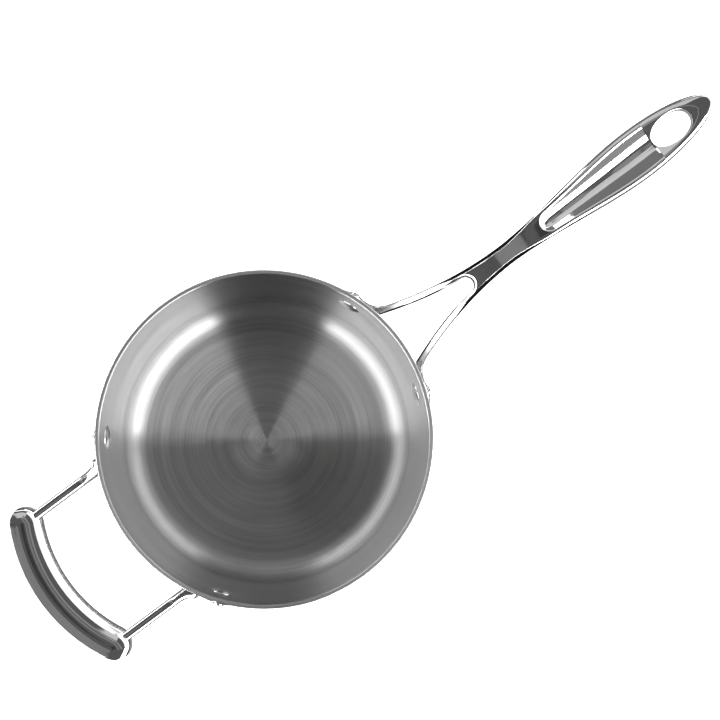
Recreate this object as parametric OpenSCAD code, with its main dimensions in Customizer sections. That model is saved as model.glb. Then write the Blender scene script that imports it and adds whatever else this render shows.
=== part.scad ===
// Clad saucier pan: the long handle lies along +X and the base rests on the plane z = 0.

/* [Bowl] */
// Inside diameter of the bowl at the rim
rim_inner_d = 200; // [196:1:204]
// Inside depth of the bowl
bowl_depth = 90; // [84:1:96]
// Lean of the wall from upright, in degrees
wall_flare = 6; // [4:0.5:8]
// Inside radius of the corner between the floor and the wall
corner_r = 16.5; // [14:0.5:20]
// Thickness of the inner steel skin
inner_ply_t = 0.5; // [0.4:0.1:0.6]
// Thickness of the aluminium core
core_ply_t = 1.7; // [1.5:0.1:1.9]
// Thickness of the outer steel skin
outer_ply_t = 0.5; // [0.4:0.1:0.6]
// Bevel on the two edges of the rim
rim_bevel = 0.35; // [0.2:0.05:0.35]

/* [Rivets] */
// Depth of the rivets' centres below the rim
rivet_drop = 24; // [20:0.5:28]
// Diameter of a shank
shank_d = 6; // [5:0.5:6.5]
// Diameter of the low head inside the bowl
head_d = 14.5; // [13:0.5:16]
// Height of the head at its middle
head_h = 2.2; // [1.8:0.1:2.6]
// Diameter of the button tail outside the flange
tail_d = 8.2; // [7.5:0.1:9]
// Height of the tail at its middle
tail_h = 3; // [2.4:0.1:3.4]

/* [Flanges] */
// Thickness of a flange where it seats on the wall
flange_t = 3.4; // [3:0.1:4]
// Radius of a flange's round end, about its rivet
flange_end_r = 11; // [10:0.5:12]
// Radius of a flange's narrow end, at its leg
flange_leg_r = 5; // [4.5:0.5:6]

/* [Long handle] */
// Reach of the tip from the bowl's centre
handle_reach = 332.4; // [324:0.2:344]
// Rise of the handle's middle over its steep and bent part, beyond the grip's own gentle slope
handle_rise = 41.6; // [34:0.2:46]
// Angle between the handle's middle and each of its rivets, in degrees
handle_rivet_angle = 20.5; // [19.5:0.5:21.5]
// Angle between the handle's middle and each leg's root, in degrees
handle_leg_angle = 10.8; // [10.4:0.1:11.2]
// Width of the neck
neck_w = 12.8; // [11.5:0.1:14]
// Widest part of the grip
grip_w = 30.6; // [28:0.2:33]
// Thickness of the grip
grip_t = 11; // [10.5:0.5:12]
// Depth of the thumb scoop where the grip is widest
scoop_depth = 6.2; // [4:0.1:6.4]
// Width of the lip round the scoop
scoop_lip = 3.5; // [3:0.1:4.5]
// Length of the oval hanging hole
hole_l = 27.2; // [24:0.2:28]
// Width of the oval hanging hole
hole_w = 16.6; // [14:0.2:17]
// Radius at the crotch of the fork
crotch_r = 5; // [4.6:0.1:5.4]

/* [Helper handle] */
// Reach of the helper grip from the bowl's centre
helper_reach = 169.7; // [164:0.1:174]
// Angle between the helper's middle and each of its rivets, in degrees
helper_rivet_angle = 37.5; // [37:0.5:38]
// Distance between the middles of the two legs
leg_span = 92.2; // [90:0.1:94]
// Width of each leg
leg_w = 6.2; // [5.5:0.1:7]
// Length of the grip across the handle
helper_grip_l = 109.3; // [106:0.1:112]
// Width of the grip, seen from above
helper_grip_w = 22.2; // [20:0.2:24]
// Height of the grip
helper_grip_h = 13; // [11:0.5:15]
// Radius of the grip's bow, at its middle line
bow_r = 98.6; // [92:0.2:104]
// Rise of the grip's middle above the rivets
helper_rise = 9; // [6:0.5:12]
// Small turn of the helper handle off the long handle's line, in degrees
helper_turn = -0.7; // [-2:0.1:2]

/* [Hidden] */
$fn = 128;

// Heights and radii of the bowl
wall_t = inner_ply_t + core_ply_t + outer_ply_t;
rim_z = wall_t + bowl_depth;
rim_r = rim_inner_d / 2;
corner_z = wall_t + corner_r;
corner_x = rim_r - (rim_z - corner_z) * tan(wall_flare) - corner_r / cos(wall_flare);
rivet_z = rim_z - rivet_drop;
// How far a set shank stays clear of its bore, and how far cutters run past what they cut
shank_gap = 0.02;
past = 1;
// Height of the upright edge of a rivet's head and of its tail
head_edge = 0.5;
tail_edge = 1.9;

// Stations along the long handle, from where its legs meet the wall
seat_x = rim_r - rivet_drop * tan(wall_flare) + wall_t / cos(wall_flare);
root_x = seat_x - 3.6;
merge_x = seat_x + 34;
crotch_x = seat_x + 52.2;
split_x = crotch_x + crotch_r;
flare_x = seat_x + 83.6;
neck_x = seat_x + 79.7;
scoop_start = seat_x + 106.9;
widest_x = seat_x + 178;
scoop_end = handle_reach - 10.6;
hole_x = handle_reach - 29.4;

// Spread of the fork, which grows with the square of the way to the wall, and how its gap widens
flare_growth = 0.0025;
gap_growth = 0.0378;
gap_power = 1.5;
// Fillet at each leg's root: its width at the wall, its reach out along the leg, and its widest
fillet_w = 8.6;
fillet_l = 2.2;
fillet_max = 9;
// Thickness of the legs and the neck, of the very tip, and the length over which the grip thickens
leg_t = 8;
tip_t = 3.2;
thicken_l = 60;
// Slope of the grip's middle line, the length over which the handle bends down to it, and how the bend eases
grip_slope = 0.06;
bend_l = 130;
bend_power = 2.5;
// Rounding of the crotch's edges, and the length over which the points along a section respace themselves
fork_bevel = 1.4;
respace_l = 15;
// Bevel along the top's edges, its growth beside the crotch, and the roundness of the bevel's ridge
edge_bevel = 0.7;
crotch_bevel = 1.5;
ridge_round = 0.05;
// Where the growth starts and ends, beyond the legs' merging and beyond the crotch, and over which lengths
bevel_off = 4;
bevel_in_l = 12;
bevel_out_l = 22;
// Lengths over which the scoop's outline rounds at its neck end and at its tip end
scoop_in_l = 7;
scoop_out_l = 14;
// How much narrower the lip is at the scoop's start, and the length over which it grows
lip_loss = 1;
lip_grow_l = 45;
// How the scoop's depth follows its width, how round its floor is, and how round its lip
scoop_power = 1.35;
floor_round = 0.6;
lip_round = 0.21;
// Squareness of the tops of the legs and of the neck, and how much of it the grip loses, over which length
leg_p = 9;
neck_p = 10;
grip_p_loss = 6;
grip_p_l = 50;
// Squareness of the underside, of the helper's legs and of the hole
belly_p = 2.6;
helper_leg_p = 3;
hole_p = 2.25;

// The helper's legs: where they meet the wall, their thickness and their fillets
helper_seat_x = sqrt(pow(seat_x, 2) - pow(leg_span / 2, 2));
helper_leg_t = 8.4;
helper_fillet_w = 5;
helper_fillet_l = 2.5;
helper_fillet_max = 4;
// The legs' steep length up to their bend, and the roundness of the bend
helper_bend_l = 15;
bend_round = 3;
// The helper's grip: centre of its bow, and how far out its crest lies, as a share of its half width
bow_x = bow_r - (helper_reach - helper_grip_w / 2);
crest = 0.88;
// Squareness of the grip outside the crest and below, and the fall of its top from the crest towards the pan
grip_outer_p = 3;
grip_under_p = 2.3;
grip_fall = 3;
grip_fall_end = 1.15;
// Height of the grip's crest and depth of its underside, as shares of half its height
crown_share = 1.14;
belly_share = 0.9;
// How much the grip slims at its ends, and how its height falls over its end caps
grip_slim = 0.06;
cap_fall = 0.7;
// How far the legs' ends stop short of the grip's middle line
leg_short = 3.3;

function ramp(t) = let (s = min(1, max(0, t))) s * s * (3 - 2 * s);
function round_end(t) = let (s = 1 - min(1, max(0, t))) sqrt(1 - s * s);
function signed_power(v, p) = sign(v) * pow(abs(v), p);
function dome(u, p) = pow(max(0, 1 - pow(abs(u), p)), 1 / p);

// Radius of the surface that lies o outside the bowl's inner face, at height z on the wall
function wall_r(z, o) = rim_r - (rim_z - z) * tan(wall_flare) + o / cos(wall_flare);

// Half of the handle's width, seen from above: fork, neck, swelling grip and rounded tip
function fork_flare(x) = flare_growth * pow(max(0, flare_x - x), 2);
function root_fillet(x) = min(fillet_max, fillet_w * exp((seat_x - x) / fillet_l));
function swell(x) = (grip_w - neck_w) / 2 * ramp((x - neck_x) / (widest_x - neck_x));
function tip_share(x) = max(0, x - widest_x) / (handle_reach - widest_x);
function tip_round(x) = sqrt(max(0, 1 - pow(tip_share(x), 2)));
function half_w(x) = (neck_w / 2 + fork_flare(x) + root_fillet(x) + swell(x)) * tip_round(x);

// Height of the handle's middle, and half of its thickness
function mid_z(x) = let (away = x - seat_x) rivet_z + grip_slope * away
    + handle_rise * (1 - pow(max(0, 1 - away / bend_l), bend_power));
function full_t(x) = leg_t + (grip_t - leg_t) * ramp((x - neck_x) / thicken_l);
function half_t(x) = (full_t(x) * tip_round(x) + tip_t * (1 - tip_round(x))) / 2;

// Half of the gap between the legs, which ends in a round crotch
function half_gap(x) = x < crotch_x ? crotch_r + gap_growth * pow(crotch_x - x, gap_power)
    : sqrt(max(0, crotch_r * crotch_r - pow(x - crotch_x, 2)));
function gap_distance(x, y) = x < crotch_x ? abs(y) - half_gap(x) : norm([x - crotch_x, y]) - crotch_r;
function crotch_fall(x, y) = max(0, fork_bevel - gap_distance(x, y));

// The thumb scoop: the lip beside it, its half width, its depth along the grip, and its depth at any point
function lip_at(x) = scoop_lip - lip_loss * (1 - ramp((x - scoop_start) / lip_grow_l));
function scoop_half_w(x) = (half_w(x) - lip_at(x)) * round_end((x - scoop_start) / scoop_in_l)
    * round_end((scoop_end - x) / scoop_out_l);
function scoop_d(x) = scoop_depth * pow(scoop_half_w(x) / (grip_w / 2 - scoop_lip), scoop_power);
function scoop_side(u) = 1 - (sqrt(u * u + floor_round * floor_round) - floor_round)
    / (sqrt(1 + floor_round * floor_round) - floor_round);
function scoop_at(x, y) = x <= scoop_start || x >= scoop_end ? 0
    : let (s = scoop_side(y / scoop_half_w(x))) scoop_d(x) * (s + sqrt(s * s + lip_round * lip_round)) / 2;

// An arch h cut by a bevel: the soft minimum of the arch and the bevel's plane
function bevelled(h, plane) = (h + plane - sqrt(pow(h - plane, 2) + ridge_round)) / 2;

// Height of the skin over the middle line: flat bevelled legs, then the whole neck and the rounder grip
function leg_share(x) = 1 - ramp((x - merge_x) / (split_x - merge_x));
function across_leg(x, y) = 2 * (abs(y) - half_gap(x)) / (half_w(x) - half_gap(x)) - 1;
function bevel_w(x) = edge_bevel + crotch_bevel * ramp((x - merge_x - bevel_off) / bevel_in_l)
    * (1 - ramp((x - split_x - bevel_off) / bevel_out_l));
function top_over_leg(x, y) = bevelled(half_t(x) * dome(across_leg(x, y), leg_p),
    half_t(x) - bevel_w(x) + min(half_w(x) - abs(y), abs(y) - half_gap(x)));
function squareness(x) = neck_p - grip_p_loss * ramp((x - neck_x) / grip_p_l);
function top_over_all(x, y) = bevelled(half_t(x) * dome(y / half_w(x), squareness(x)),
    half_t(x) - bevel_w(x) + half_w(x) - abs(y)) - crotch_fall(x, y);
function top_skin(x, y) = let (k = leg_share(x))
    max(0, (k > 0 ? k * top_over_leg(x, y) : 0) + (k < 1 ? (1 - k) * top_over_all(x, y) : 0));
function belly_skin(x, y) = let (k = leg_share(x)) k * half_t(x) * dome(k > 0 ? across_leg(x, y) : 0, belly_p)
    + (1 - k) * max(0, half_t(x) * dome(y / half_w(x), belly_p) - crotch_fall(x, y));

// Faces of a closed solid through n rings of m points each, with a cap on both ends
function ring_faces(n, m) = concat(
    [for (i = [0:n - 2], j = [0:m - 1]) let (a = i * m + j, b = i * m + (j + 1) % m) [a, a + m, b]],
    [for (i = [0:n - 2], j = [0:m - 1]) let (a = i * m + j, b = i * m + (j + 1) % m) [b, a + m, b + m]],
    [[for (j = [0:m - 1]) j]],
    [[for (j = [m - 1:-1:0]) (n - 1) * m + j]]);

module loft(rings) {
    polyhedron(points = [for (r = rings) each r], faces = ring_faces(len(rings), len(rings[0])), convexity = 6);
}

// A rounded section across +X: half width a, half height b, squareness p and m points
function rounded_ring(x, y, z, a, b, p, m) = [for (j = [0:m - 1]) let (t = 360 * j / m)
    [x, y + a * signed_power(cos(t), 2 / p), z + b * signed_power(sin(t), 2 / p)]];

// Half profile of all that lies inside the surface o outside the bowl's inner face
module bowl_region(o) {
    r = corner_r + o;
    translate([0, wall_t - o]) square([corner_x, rim_z - wall_t + o]);
    translate([corner_x, corner_z]) circle(r);
    polygon([[corner_x, corner_z], [corner_x + r * cos(wall_flare), corner_z - r * sin(wall_flare)],
        [wall_r(rim_z, o), rim_z], [corner_x, rim_z]]);
}

module bowl_solid(o) {
    rotate_extrude() bowl_region(o);
}

// Places its children at a rivet, with +Z out along the wall's normal and +X down the wall
module at_rivet(angle) {
    rotate(angle) translate([wall_r(rivet_z, 0), 0, rivet_z]) rotate([0, 90 + wall_flare, 0]) children();
}

module rivet_bores() {
    bore_l = wall_t + flange_t + 2 * past;
    for (angle = [handle_rivet_angle, -handle_rivet_angle, 180 + helper_turn - helper_rivet_angle,
        180 + helper_turn + helper_rivet_angle])
        at_rivet(angle) translate([0, 0, -past]) cylinder(r = shank_d / 2 + shank_gap, h = bore_l);
}

// One layer of the clad bowl, between two surfaces; the child is the bevel cut off its rim
module ply(inner, outer) {
    difference() {
        rotate_extrude() difference() {
            bowl_region(outer);
            bowl_region(inner);
            children();
        }
        rivet_bores();
    }
}

module inner_ply() {
    color([0.72, 0.72, 0.73]) ply(0, inner_ply_t)
        polygon([[rim_r - past, rim_z + past], [rim_r + rim_bevel + past, rim_z + past],
            [rim_r - past, rim_z - rim_bevel - past]]);
}

module core_ply() {
    color([0.62, 0.62, 0.63]) ply(inner_ply_t, inner_ply_t + core_ply_t);
}

module outer_ply() {
    edge = wall_r(rim_z, wall_t);
    color([0.66, 0.66, 0.67]) ply(inner_ply_t + core_ply_t, wall_t)
        polygon([[edge + past, rim_z + past], [edge - rim_bevel - past, rim_z + past],
            [edge + past, rim_z - rim_bevel - past]]);
}

// Points of an arc of radius r about [0, y]
function arc(r, y, from, to, steps) = [for (i = [0:steps]) let (a = from + (to - from) * i / steps)
    [r * cos(a), y + r * sin(a)]];

// Outline of a flange laid flat: a round end at the rivet that narrows to the leg at [0, reach]
module ear_outline(reach) {
    lean = asin((flange_end_r - flange_leg_r) / abs(reach));
    flat = concat(arc(flange_end_r, 0, -180 - lean, lean, 24),
        arc(flange_leg_r, abs(reach), lean, 180 - lean, 12));
    polygon(reach > 0 ? flat : [for (p = flat) [p[0], -p[1]]]);
}

// A curved flange that seats on the flared wall
module flange(rivet_angle, leg_angle) {
    reach = wall_r(rivet_z, wall_t) * 2 * sin((leg_angle - rivet_angle) / 2);
    intersection() {
        difference() {
            bowl_solid(wall_t + flange_t);
            bowl_solid(wall_t);
        }
        at_rivet(rivet_angle) linear_extrude(wall_t + 2 * flange_t) ear_outline(reach);
    }
}

// The forked handle is one skin: each section is cut into a left and a right half, and at the fork
// each half closes round its own leg. A half has side_steps spaces from its edge to the middle.
side_steps = 9;
half_n = 2 * side_steps + 1;
ring_n = 4 * side_steps;

// How far out a point lies, from 1 at the edge to 0 at the gap or the middle line
function spread(x, j) = let (even = (1 + cos(180 * j / side_steps)) / 2, wide = cos(90 * j / side_steps),
    k = ramp((x - split_x) / respace_l)) (1 - k) * even + k * wide;
function side_y(x, j) = half_gap(x) + (half_w(x) - half_gap(x)) * spread(x, j);
function top_point(x, j, side) = let (y = side_y(x, j))
    [x, side * y, mid_z(x) + top_skin(x, y) - scoop_at(x, y)];
function belly_point(x, j, side) = let (y = side_y(x, j)) [x, side * y, mid_z(x) - belly_skin(x, y)];

function left_ring(x) = concat([for (j = [0:side_steps]) top_point(x, j, 1)],
    [for (j = [side_steps:-1:1]) belly_point(x, j, 1)]);
function right_ring(x) = concat([for (j = [side_steps:-1:0]) top_point(x, j, -1)],
    [for (j = [1:side_steps]) belly_point(x, j, -1)]);
function whole_ring(x) = concat([for (j = [0:side_steps]) top_point(x, j, 1)],
    [for (j = [side_steps - 1:-1:0]) top_point(x, j, -1)],
    [for (j = [1:side_steps]) belly_point(x, j, -1)],
    [for (j = [side_steps - 1:-1:1]) belly_point(x, j, 1)]);

// Where the skin's sections lie: close together at the roots, round the crotch, at the scoop's start and the tip
leg_stations = concat([for (x = [root_x:1.5:root_x + 11]) x],
    [for (x = [root_x + 15:6:crotch_x - 1]) x],
    [for (a = [0:15:75]) crotch_x + crotch_r * sin(a)]);
body_stations = concat([for (d = [0, 0.35, 0.8, 1.4, 3.5, 7]) split_x + d],
    [for (x = [split_x + 12:7:scoop_start - 4]) x],
    [for (x = [scoop_start:2:scoop_start + 10]) x],
    [for (x = [scoop_start + 14:6:widest_x]) x],
    [for (a = [5:6:83]) widest_x + (handle_reach - widest_x) * sin(a)],
    [handle_reach - 0.1]);

// The two triangles between a section's points and the next section's, given their four indexes
function quad(a, b, c, d) = [[a, b, c], [c, b, d]];

module forked_skin() {
    legs = len(leg_stations);
    bodies = len(body_stations);
    right = legs * half_n;
    body = 2 * legs * half_n;
    // Index of point i of a half ring at station s; the station after the legs' last is the first whole ring
    left_at = function (s, i) s < legs ? s * half_n + i % half_n
        : body + (i % half_n <= side_steps ? i % half_n : i % half_n + ring_n - half_n);
    right_at = function (s, i) s < legs ? right + s * half_n + i % half_n : body + side_steps + i % half_n;
    body_at = function (s, i) body + s * ring_n + i % ring_n;
    left_leg = [for (s = [0:legs - 1], i = [0:half_n - 1])
        each quad(left_at(s, i), left_at(s + 1, i), left_at(s, i + 1), left_at(s + 1, i + 1))];
    right_leg = [for (s = [0:legs - 1], i = [0:half_n - 1])
        each quad(right_at(s, i), right_at(s + 1, i), right_at(s, i + 1), right_at(s + 1, i + 1))];
    neck_and_grip = [for (s = [0:bodies - 2], i = [0:ring_n - 1])
        each quad(body_at(s, i), body_at(s + 1, i), body_at(s, i + 1), body_at(s + 1, i + 1))];
    caps = [[for (i = [0:half_n - 1]) i], [for (i = [0:half_n - 1]) right + i],
        [for (i = [ring_n - 1:-1:0]) body_at(bodies - 1, i)]];
    points = concat([for (x = leg_stations) each left_ring(x)], [for (x = leg_stations) each right_ring(x)],
        [for (x = body_stations) each whole_ring(x)]);
    polyhedron(points = points, faces = concat(left_leg, right_leg, neck_and_grip, caps), convexity = 8);
}

// A slightly squared oval
module hanging_hole() {
    linear_extrude(2 * rim_z) polygon([for (a = [0:7.5:352.5])
        [hole_x + hole_l / 2 * signed_power(cos(a), 2 / hole_p),
            hole_w / 2 * signed_power(sin(a), 2 / hole_p)]]);
}

module long_handle() {
    color([0.8, 0.8, 0.82]) difference() {
        union() {
            difference() {
                forked_skin();
                hanging_hole();
            }
            flange(handle_rivet_angle, handle_leg_angle);
            flange(-handle_rivet_angle, -handle_leg_angle);
        }
        bowl_solid(wall_t);
        rivet_bores();
    }
}

// Height of the helper's middle line, which lies along -X: steep from the wall up to a soft bend, then level
function helper_mid_z(x) = let (left = helper_bend_l + x + helper_seat_x) rivet_z
    + helper_rise / helper_bend_l * (helper_bend_l - (left + sqrt(left * left + bend_round * bend_round)) / 2);

// One leg of the helper handle, which runs straight out from its fillet at the wall into the grip
module helper_leg(side) {
    steps = 16;
    y = side * leg_span / 2;
    outer_x = bow_x - sqrt(pow(bow_r, 2) - pow(leg_span / 2, 2)) + leg_short;
    loft([for (i = [steps:-1:0]) let (x = -helper_seat_x + (outer_x + helper_seat_x) * pow(i / steps, 1.5),
        fillet = helper_fillet_w * exp((x + helper_seat_x + flange_t) / helper_fillet_l),
        extra = min(helper_fillet_max, fillet) / 2)
        rounded_ring(x, y + side * extra, helper_mid_z(x), leg_w / 2 + extra, helper_leg_t / 2,
            helper_leg_p, 20)]);
}

// Section of the grip, round from its outer side: an upright side, a top that falls from its crest towards the
// pan, and a round underside
function grip_ring(w, h) = concat(
    [for (a = [0:30:90]) [w * crest + w * (1 - crest) * signed_power(cos(a), 2 / grip_outer_p),
        h * crown_share * signed_power(sin(a), 2 / grip_outer_p)]],
    [for (i = [1:12]) [w * crest - w * (1 + crest) * i / 12,
        h * crown_share * pow(1 - pow(i / 12, grip_fall), 1 / grip_fall_end)]],
    [for (b = [192:12:348]) [w * signed_power(cos(b), 2 / grip_under_p),
        h * belly_share * signed_power(sin(b), 2 / grip_under_p)]]);

// The thick bowed grip, whose ends close in round caps
module helper_grip() {
    half_angle = asin(helper_grip_l / 2 / bow_r);
    cap = helper_grip_w / 2;
    end_angle = half_angle - cap / bow_r * 180 / PI;
    cap_angle = half_angle - end_angle;
    sweep = concat([for (a = [84:-12:0]) -end_angle - cap_angle * sin(a)],
        [for (i = [1:15]) end_angle * (i / 8 - 1)],
        [for (a = [0:12:84]) end_angle + cap_angle * sin(a)]);
    loft([for (t = sweep) let (over = max(0, abs(t) - end_angle) / cap_angle, k = sqrt(1 - over * over),
        w = cap * k * (1 - grip_slim * pow(t / half_angle, 2)),
        h = helper_grip_h / 2 * pow(k, cap_fall))
        [for (p = grip_ring(w, h))
            [bow_x - (bow_r + p[0]) * cos(t), (bow_r + p[0]) * sin(t), rivet_z + helper_rise + p[1]]]]);
}

module helper_handle() {
    leg_angle = asin(leg_span / 2 / wall_r(rivet_z, wall_t + flange_t));
    color([0.8, 0.8, 0.82]) difference() {
        union() {
            rotate(helper_turn) {
                helper_grip();
                helper_leg(1);
                helper_leg(-1);
            }
            flange(180 + helper_turn - helper_rivet_angle, 180 + helper_turn - leg_angle);
            flange(180 + helper_turn + helper_rivet_angle, 180 + helper_turn + leg_angle);
        }
        bowl_solid(wall_t);
        rivet_bores();
    }
}

// A button along +Z: a disc of radius r whose crown rises to h over an edge of height e, on a root below z = 0
module button(r, h, e, root) {
    crown = (r * r + (h - e) * (h - e)) / (2 * (h - e));
    intersection() {
        translate([0, 0, -root]) cylinder(r = r, h = root + h);
        translate([0, 0, h - crown]) sphere(crown);
    }
}

// A solid rivet: a low head inside the bowl, a shank through the plies and the flange, and a set tail outside
module rivet(angle) {
    shank_l = wall_t + flange_t + (tail_h + head_h) / 2;
    color([0.76, 0.76, 0.78]) {
        intersection() {
            at_rivet(angle) rotate([180, 0, 0]) button(head_d / 2, head_h, head_edge, past);
            bowl_solid(0);
        }
        at_rivet(angle) translate([0, 0, -head_h / 2]) cylinder(r = shank_d / 2, h = shank_l);
        difference() {
            at_rivet(angle) translate([0, 0, wall_t + flange_t]) button(tail_d / 2, tail_h, tail_edge, past);
            bowl_solid(wall_t + flange_t);
        }
    }
}

module rivet_handle_left() rivet(handle_rivet_angle);
module rivet_handle_right() rivet(-handle_rivet_angle);
module rivet_helper_left() rivet(180 + helper_turn - helper_rivet_angle);
module rivet_helper_right() rivet(180 + helper_turn + helper_rivet_angle);

inner_ply();
core_ply();
outer_ply();
long_handle();
helper_handle();
rivet_handle_left();
rivet_handle_right();
rivet_helper_left();
rivet_helper_right();
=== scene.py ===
import math

import bpy
import numpy as np
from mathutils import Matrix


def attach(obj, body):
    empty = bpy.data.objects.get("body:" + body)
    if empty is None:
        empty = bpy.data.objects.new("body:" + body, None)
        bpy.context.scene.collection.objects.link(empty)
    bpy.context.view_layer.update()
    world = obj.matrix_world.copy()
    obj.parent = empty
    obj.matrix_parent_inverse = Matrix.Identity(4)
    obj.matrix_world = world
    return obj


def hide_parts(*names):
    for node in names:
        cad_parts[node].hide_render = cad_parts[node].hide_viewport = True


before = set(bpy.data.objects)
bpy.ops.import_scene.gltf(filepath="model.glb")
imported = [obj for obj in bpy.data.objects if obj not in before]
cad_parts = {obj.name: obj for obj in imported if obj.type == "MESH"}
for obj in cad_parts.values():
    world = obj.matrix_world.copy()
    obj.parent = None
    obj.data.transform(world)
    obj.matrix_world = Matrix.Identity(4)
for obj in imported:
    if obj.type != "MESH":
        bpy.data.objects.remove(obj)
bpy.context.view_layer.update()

MM = 0.001
SIDES = ((1, "left"), (-1, "right"))

# The clad bowl: inside radius at the rim, depth, lean of the wall, inside radius of the corner, plies
RIM_R = 100.0
BOWL_DEPTH = 90.0
FLARE = math.radians(6.0)
CORNER_R = 16.5
PLIES = (0.5, 1.7, 0.5)
WALL_T = sum(PLIES)
CORE_IN = PLIES[0]
CORE_OUT = PLIES[0] + PLIES[1]
RIM_Z = WALL_T + BOWL_DEPTH
CORNER_Z = WALL_T + CORNER_R
CORNER_X = RIM_R - (RIM_Z - CORNER_Z) * math.tan(FLARE) - CORNER_R / math.cos(FLARE)

# The rim's crown, ground after the plies are cut: how far in from each edge it starts to fall, and how deep
CROWN_IN = (1.0, 0.6)
CROWN_OUT = (0.6, 0.35)

# Rivets: a low head inside the bowl, and a button tail whose rounded edge is TAIL_EDGE high
RIVET_DROP = 24.0
RIVET_Z = RIM_Z - RIVET_DROP
SHANK_R = 3.0
HEAD_R = 7.25
HEAD_H = 2.2
HEAD_EDGE = 0.5
HEAD_ROUND = 0.35
TAIL_R = 4.1
TAIL_H = 3.0
TAIL_EDGE = 1.9
TAIL_ROUND = 0.5
TAIL_SUNK = 0.4
HEAD_SUNK = 0.6

# Ears, the curved flanges that seat on the wall and reach a little into it
EAR_T = 3.4
EAR_END_R = 11.0
EAR_LEG_R = 5.0
EAR_EDGE = 1.3
EAR_SUNK = 0.3

# The long handle's widths, and the fillets at its roots: their size, the most of it that is used, their run
HANDLE_REACH = 332.4
HANDLE_RIVET_ANGLE = math.radians(20.5)
HANDLE_LEG_ANGLE = math.radians(10.8)
NECK_W = 12.8
GRIP_W = 30.6
FORK_FLARE = 0.0025
ROOT_FILLET = 8.6
ROOT_FILLET_MOST = 9.0
ROOT_FILLET_RUN = 2.2

# Places along it: the wall's outside, and how far past it the legs merge, the neck starts and so on
SEAT_X = RIM_R - RIVET_DROP * math.tan(FLARE) + WALL_T / math.cos(FLARE)
ROOT_X = SEAT_X - 3.0
MERGE_X = SEAT_X + 34.0
CROTCH_R = 5.0
CROTCH_X = SEAT_X + 52.2
SPLIT_X = CROTCH_X + CROTCH_R
NECK_X = SEAT_X + 79.7
FLARE_X = SEAT_X + 83.6
WIDEST_X = SEAT_X + 178.0

# Its heights: the grip's slope, and the climb from the wall that is added to it; and its thicknesses
GRIP_SLOPE = 0.06
CLIMB = 41.6
CLIMB_L = 130.0
CLIMB_POWER = 2.5
LEG_T = 8.0
GRIP_T = 11.0
TIP_T = 3.2
THICKENS_L = 60.0

# The fork's opening and the hanging hole, a superellipse, with the roundings of their edges. Points well
# inside the hole count as lying at that share of it.
FORK_OPENING = 0.0378
FORK_EDGE = 1.4
HOLE_L = 27.2
HOLE_W = 16.6
HOLE_POWER = 2.25
HOLE_EDGE = 0.9
WELL_INSIDE = 0.5
HOLE_X = HANDLE_REACH - 29.4
HOLE_NEAR = HOLE_X - HOLE_L / 2
HOLE_FAR = HOLE_X + HOLE_L / 2

# Where the skin's columns change their spacing: from where before the hole, and over what lengths before
# it, past it and past the fork
BEFORE_HOLE = 14.0
BEFORE_HOLE_L = 12.0
PAST_HOLE_L = 8.0
PAST_FORK_L = 15.0

# The thumb scoop: its ends and how long they run out, its lip, which is a millimetre narrower at first,
# its depth and the power by which that follows the width, the shares that round its lip and floor, and
# the land that ends it
SCOOP_START = SEAT_X + 106.9
SCOOP_START_L = 7.0
SCOOP_END = HANDLE_REACH - 10.6
SCOOP_END_L = 14.0
SCOOP_LIP = 3.3
LIP_GROWS_L = 45.0
SCOOP_DEPTH = 7.45
SCOOP_POWER = 1.35
LIP_ROUND = 0.15
FLOOR_ROUND = 0.71
LAND_SHARE = 0.6
LAND_BEFORE_HOLE = 0.3
LAND_STEP = 0.2

# The arches of the legs, neck, grip and belly, as powers, and the 55 degree bevel: its slope, the
# roundness of its ridge in square millimetres, its width, and how much wider it is beside the crotch,
# from where and over how far
LEG_ARCH = 9.0
NECK_ARCH = 10.0
GRIP_ARCH = 4.0
ARCH_CHANGES_L = 50.0
BELLY_ARCH = 2.6
BEVEL_SLOPE = 1.45
BEVEL_RIDGE = 0.01
EDGE_BEVEL = 1.0
CROTCH_BEVEL = 1.2
BEVEL_GROWS = (MERGE_X + 4, 12)
BEVEL_FADES = (SPLIT_X + 26, 24)

# The helper handle: its turn off the long handle's line, its legs, and the bend where they turn level
HELPER_REACH = 169.7
HELPER_RIVET_ANGLE = math.radians(37.5)
HELPER_TURN = math.radians(-0.7)
HELPER_RISE = 9.0
HELPER_BEND = 15.0
HELPER_BEND_ROUND = 9.0
LEG_SPAN = 92.2
LEG_W = 6.2
HELPER_LEG_T = 8.4
LEG_POWER = 3
LEG_STOP = 3.3
LEG_FILLET = 5.0
LEG_FILLET_MOST = 4.0
LEG_FILLET_RUN = 2.5
HELPER_SEAT_X = math.sqrt(SEAT_X**2 - (LEG_SPAN / 2) ** 2)

# Its grip: the bow, the section's crest, crown and belly as shares, the powers of its edge, top and
# underside, and how its width and height close towards the ends
HELPER_GRIP_L = 109.3
HELPER_GRIP_W = 22.2
HELPER_GRIP_H = 13.0
BOW_R = 98.6
BOW_X = BOW_R - (HELPER_REACH - HELPER_GRIP_W / 2)
CREST = 0.88
GRIP_CROWN = 1.14
GRIP_BELLY = 0.9
GRIP_EDGE_POWER = 3
GRIP_TOP_POWERS = (3, 1.15)
GRIP_UNDER_POWER = 2.3
GRIP_TAPER = 0.06
GRIP_END_POWER = 0.7

# Brushed rings: marks per metre across them, and their slow change round each; the fine ones count for
# more. Round the axis, nearer than NEAR_AXIS metres, the direction from it is held back.
FINE_RINGS = (900, 0.7)
BROAD_RINGS = (260, 0.5)
FINE_SHARE = 0.6
QUARTER_TURN = 0.25
ROUGHNESS_SWING = 0.04
NEAR_AXIS = 0.0005

# Polish: waves and scratches per metre, and the shares by which they change the roughness and the tone
POLISH_WAVES = 45
POLISH_HAZE = 420
HAZE_SWING = (0.75, 1.35)
WAVE_SWING = (0.96, 1.03)

# Edges sharper than this are shown sharp
SHARP_EDGE = math.radians(38)

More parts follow.
